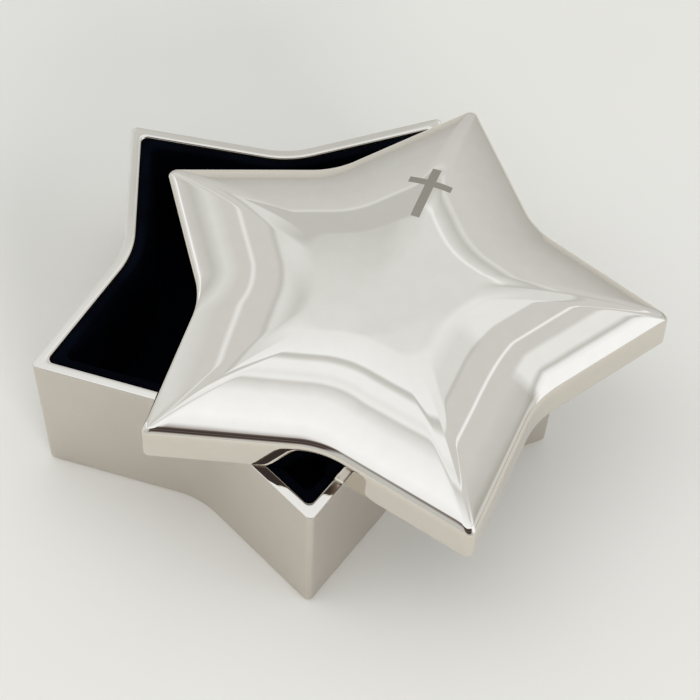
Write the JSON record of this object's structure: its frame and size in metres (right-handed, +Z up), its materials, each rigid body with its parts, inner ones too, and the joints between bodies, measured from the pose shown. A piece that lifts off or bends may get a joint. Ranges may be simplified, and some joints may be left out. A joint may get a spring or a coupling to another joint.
{
  "type": "star trinket box",
  "caption": "Star-shaped metal trinket box with a velvet-lined well and a loose, pillow-domed lid that lies askew on its rim.",
  "frame": {"origin": "centre of the felt underside, on the axis of the base's star", "axes": "+Z up out of the well; one tip of the base's star points along +Y; +X to the right of that tip"},
  "size_m": [0.1023, 0.1185, 0.0439],
  "materials": {
    "satin_nickel": "satin plated casting with a polished rim",
    "polished_nickel": "mirror polished plated casting",
    "navy_velvet": "short pile velvet",
    "lining_card": "plain grey card",
    "black_felt": "pressed felt"
  },
  "bodies": {
    "base": {"base_shell": "satin_nickel", "base_felt": "black_felt", "wall_card": "lining_card", "wall_velvet": "navy_velvet", "floor_card": "lining_card", "floor_velvet": "navy_velvet"},
    "lid": {"lid_shell": "polished_nickel", "lid_card": "lining_card", "lid_velvet": "navy_velvet"}
  },
  "joints": [
    {"name": "lid_lift", "type": "slide", "parent": "base", "child": "lid", "axis": [0, 0, 1], "range_m": [0, 0.06]}
  ]
}
